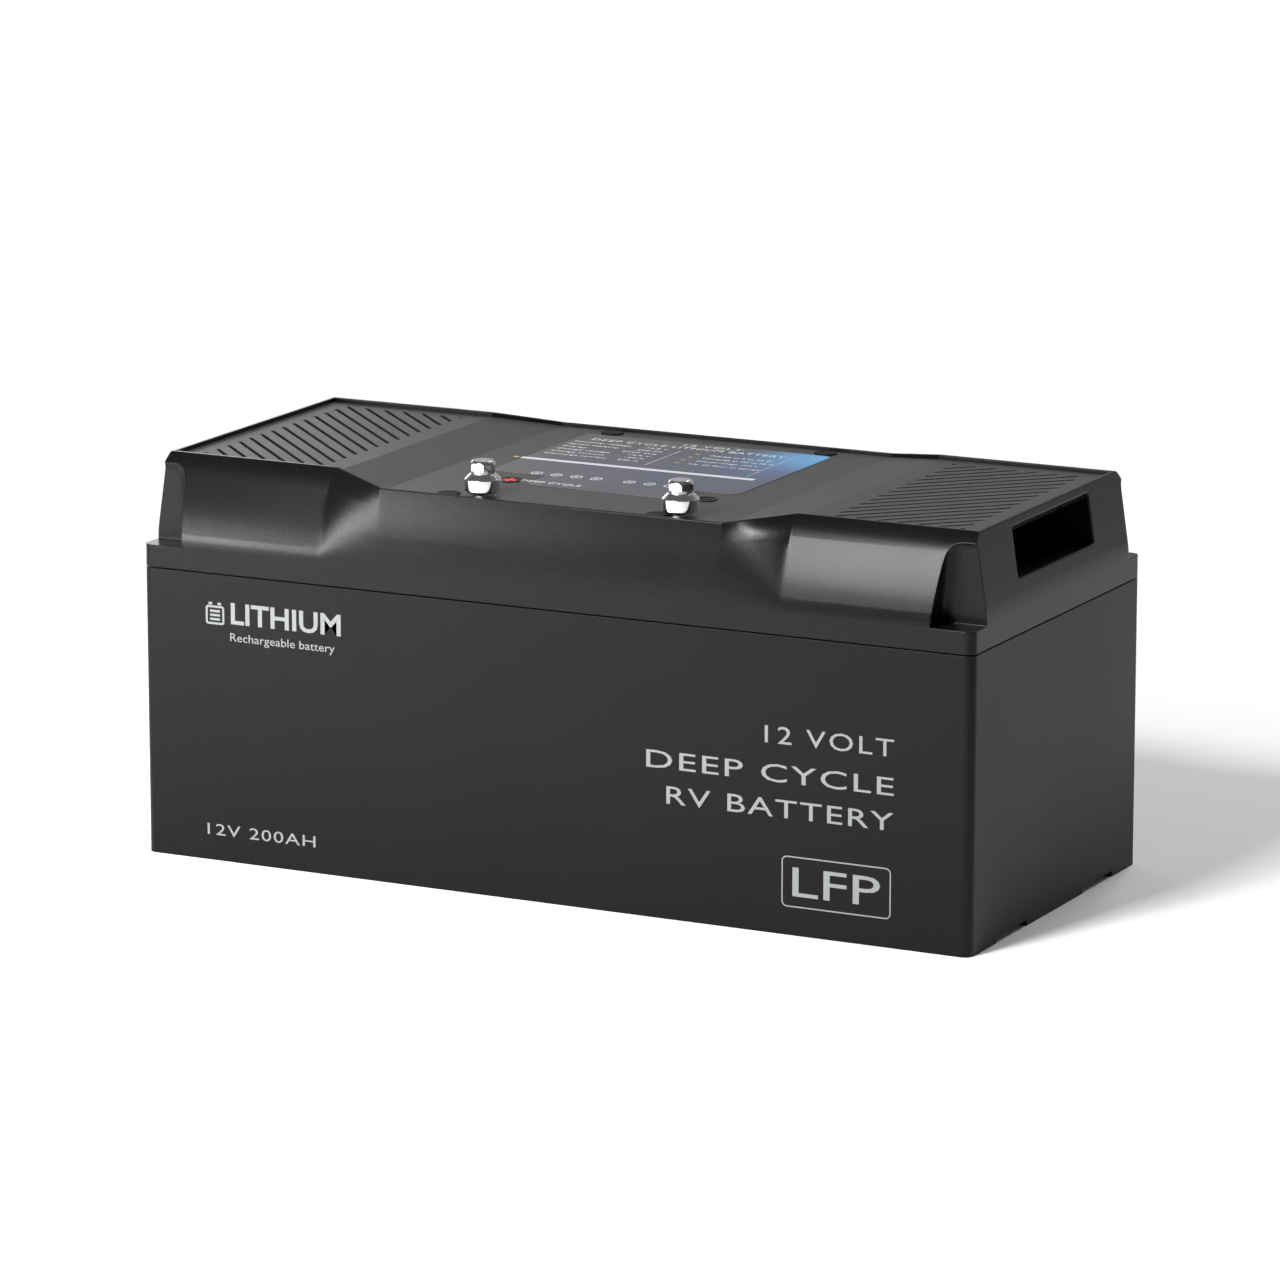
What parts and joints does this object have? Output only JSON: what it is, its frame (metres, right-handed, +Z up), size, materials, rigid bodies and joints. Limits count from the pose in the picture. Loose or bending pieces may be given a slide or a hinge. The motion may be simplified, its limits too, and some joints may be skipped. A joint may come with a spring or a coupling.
{
  "type": "deep cycle battery",
  "caption": "Long black lithium deep cycle battery: plain tub, sculpted lid with end hand-holds, slotted deck grilles and bolted top terminals.",
  "frame": {"origin": "on the floor under the middle of the case", "axes": "+X along the long side, -Y towards the printed front where the terminals are, +Z up"},
  "size_m": [0.5, 0.224, 0.236],
  "materials": {
    "case_plastic": "fine moulded texture, satin",
    "lid_plastic": "fine moulded texture, satin",
    "deck_plastic": "fine moulded texture, satin",
    "plug_plastic": "matt",
    "gasket_rubber": "matt",
    "seal_rubber": "matt",
    "label_film": "printed satin film",
    "mark_black": "printed",
    "mark_red": "printed",
    "terminal_nickel": "bright nickel plate",
    "bolt_nickel": "bright nickel plate",
    "washer_steel": "spring steel",
    "zinc_steel": "zinc plate",
    "insert_brass": "turned",
    "cell_can": "wrapped in blue film",
    "spacer_sheet": "matt",
    "end_plate_aluminium": "cast, matt",
    "strap_steel": "satin",
    "pad_foam": "foam",
    "fibre_board": "glass fibre",
    "busbar_copper": "rolled copper",
    "tray_plastic": "matt",
    "board_green": "solder mask",
    "chip_plastic": "matt",
    "heatsink_aluminium": "extruded, satin",
    "connector_plastic": "matt",
    "shield_tin": "tinned",
    "strip_film": "polyimide film",
    "bead_epoxy": "matt",
    "tinned_copper": "tinned",
    "cable_red": "silicone",
    "cable_black": "silicone"
  },
  "bodies": {
    "housing": {"base_pad": "pad_foam", "bms_board": "board_green", "bms_connectors": "connector_plastic", "bms_heatsink": "heatsink_aluminium", "bms_mosfets": "chip_plastic", "bms_screws": "zinc_steel", "bms_tray": "tray_plastic", "busbar_nuts": "zinc_steel", "cable_lugs": "tinned_copper", "case_tub": "case_plastic", "cell_1": "cell_can", "cell_2": "cell_can", "cell_3": "cell_can", "cell_4": "cell_can", "cell_5": "cell_can", "cell_6": "cell_can", "cell_7": "cell_can", "cell_8": "cell_can", "cell_spacers": "spacer_sheet", "left_end_plate": "end_plate_aluminium", "lid_gasket": "gasket_rubber", "lid_inserts": "insert_brass", "lid_screws": "zinc_steel", "lid_shell": "lid_plastic", "lug_screws": "zinc_steel", "negative_busbar": "busbar_copper", "negative_cable": "cable_black", "negative_post": "terminal_nickel", "negative_sign": "mark_black", "pack_negative_cable": "cable_black", "pack_straps": "strap_steel", "polarity_rings": "mark_black", "positive_busbar": "busbar_copper", "positive_cable": "cable_red", "positive_post": "terminal_nickel", "positive_sign": "mark_red", "right_end_plate": "end_plate_aluminium", "screw_plugs": "plug_plastic", "sense_strip": "strip_film", "series_busbars": "busbar_copper", "spec_label": "label_film", "temperature_sensors": "bead_epoxy", "terminal_seals": "seal_rubber", "top_insulation": "fibre_board", "top_panel": "deck_plastic", "wireless_module": "shield_tin"},
    "positive_washer_body": {"positive_lock_washer": "washer_steel"},
    "positive_bolt_body": {"positive_bolt": "bolt_nickel"},
    "negative_washer_body": {"negative_lock_washer": "washer_steel"},
    "negative_bolt_body": {"negative_bolt": "bolt_nickel"}
  },
  "joints": [
    {"name": "positive_bolt_lift", "type": "slide", "parent": "housing", "child": "positive_washer_body", "axis": [0, 0, 1], "range_m": [0, 0.0101]},
    {"name": "positive_bolt_turn", "type": "hinge", "parent": "positive_washer_body", "child": "positive_bolt_body", "pos_m": [-0.0475, -0.093, 0.2307], "axis": [0, 0, 1], "range_deg": [0, 2880]},
    {"name": "negative_bolt_lift", "type": "slide", "parent": "housing", "child": "negative_washer_body", "axis": [0, 0, 1], "range_m": [0, 0.0101]},
    {"name": "negative_bolt_turn", "type": "hinge", "parent": "negative_washer_body", "child": "negative_bolt_body", "pos_m": [0.0713, -0.093, 0.2307], "axis": [0, 0, 1], "range_deg": [0, 2880]}
  ],
  "couplings": [
    {"joint": "positive_bolt_lift", "follows": "positive_bolt_turn", "m_per_rad": 0.00019894},
    {"joint": "negative_bolt_lift", "follows": "negative_bolt_turn", "m_per_rad": 0.00019894}
  ]
}
